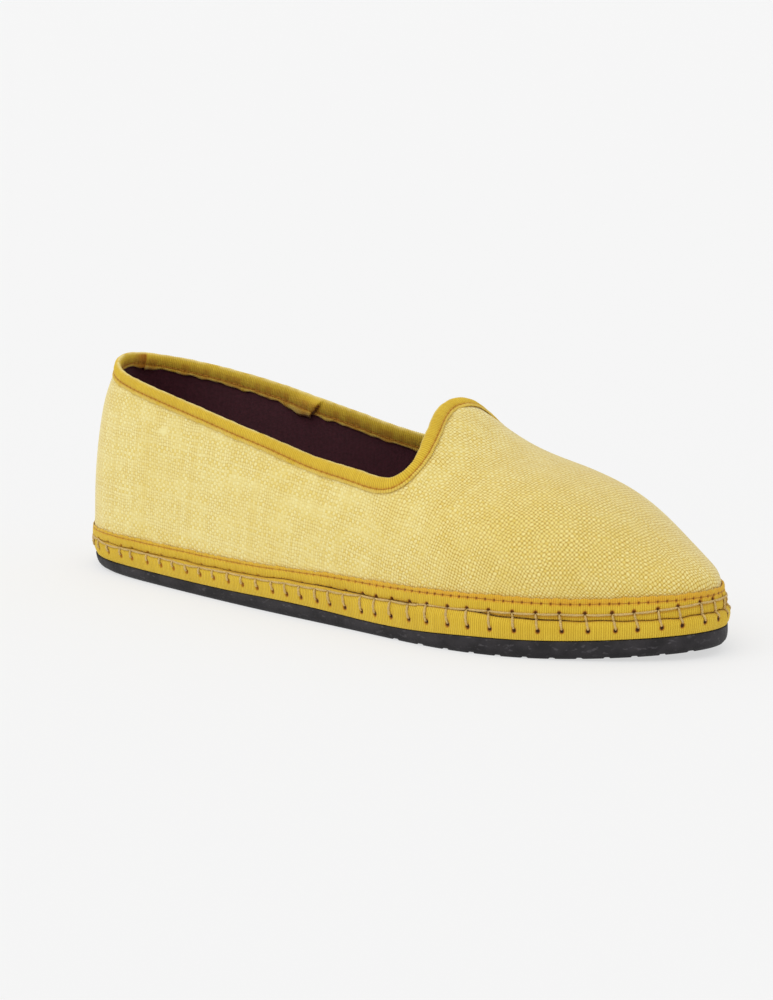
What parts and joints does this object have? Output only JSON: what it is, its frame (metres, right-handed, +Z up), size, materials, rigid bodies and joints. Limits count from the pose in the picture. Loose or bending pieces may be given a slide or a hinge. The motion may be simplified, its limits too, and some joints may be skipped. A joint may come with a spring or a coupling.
{
  "type": "slip-on flat shoe",
  "caption": "Low linen slip-on shoe for the right foot, with a folded collar binding, a taped edge, a tape-wrapped midsole, an insole and a thin rubber outsole.",
  "frame": {"origin": "on the floor, under the middle of the shoe's length and width", "axes": "+X towards the toe, +Y towards the inner side of the foot, +Z up"},
  "size_m": [0.2501, 0.091, 0.0741],
  "materials": {
    "rubber": "matt charcoal rubber",
    "sole_tape": "ribbed mustard cotton tape",
    "lining": "plain plum cloth",
    "linen": "straw linen in a plain weave",
    "upper_tape": "ribbed mustard cotton tape",
    "binding": "ribbed mustard cotton tape"
  },
  "bodies": {
    "root": {"outsole": "rubber", "midsole": "sole_tape", "insole": "lining", "upper": "linen", "edge_tape": "upper_tape", "collar_binding": "binding"}
  },
  "joints": []
}
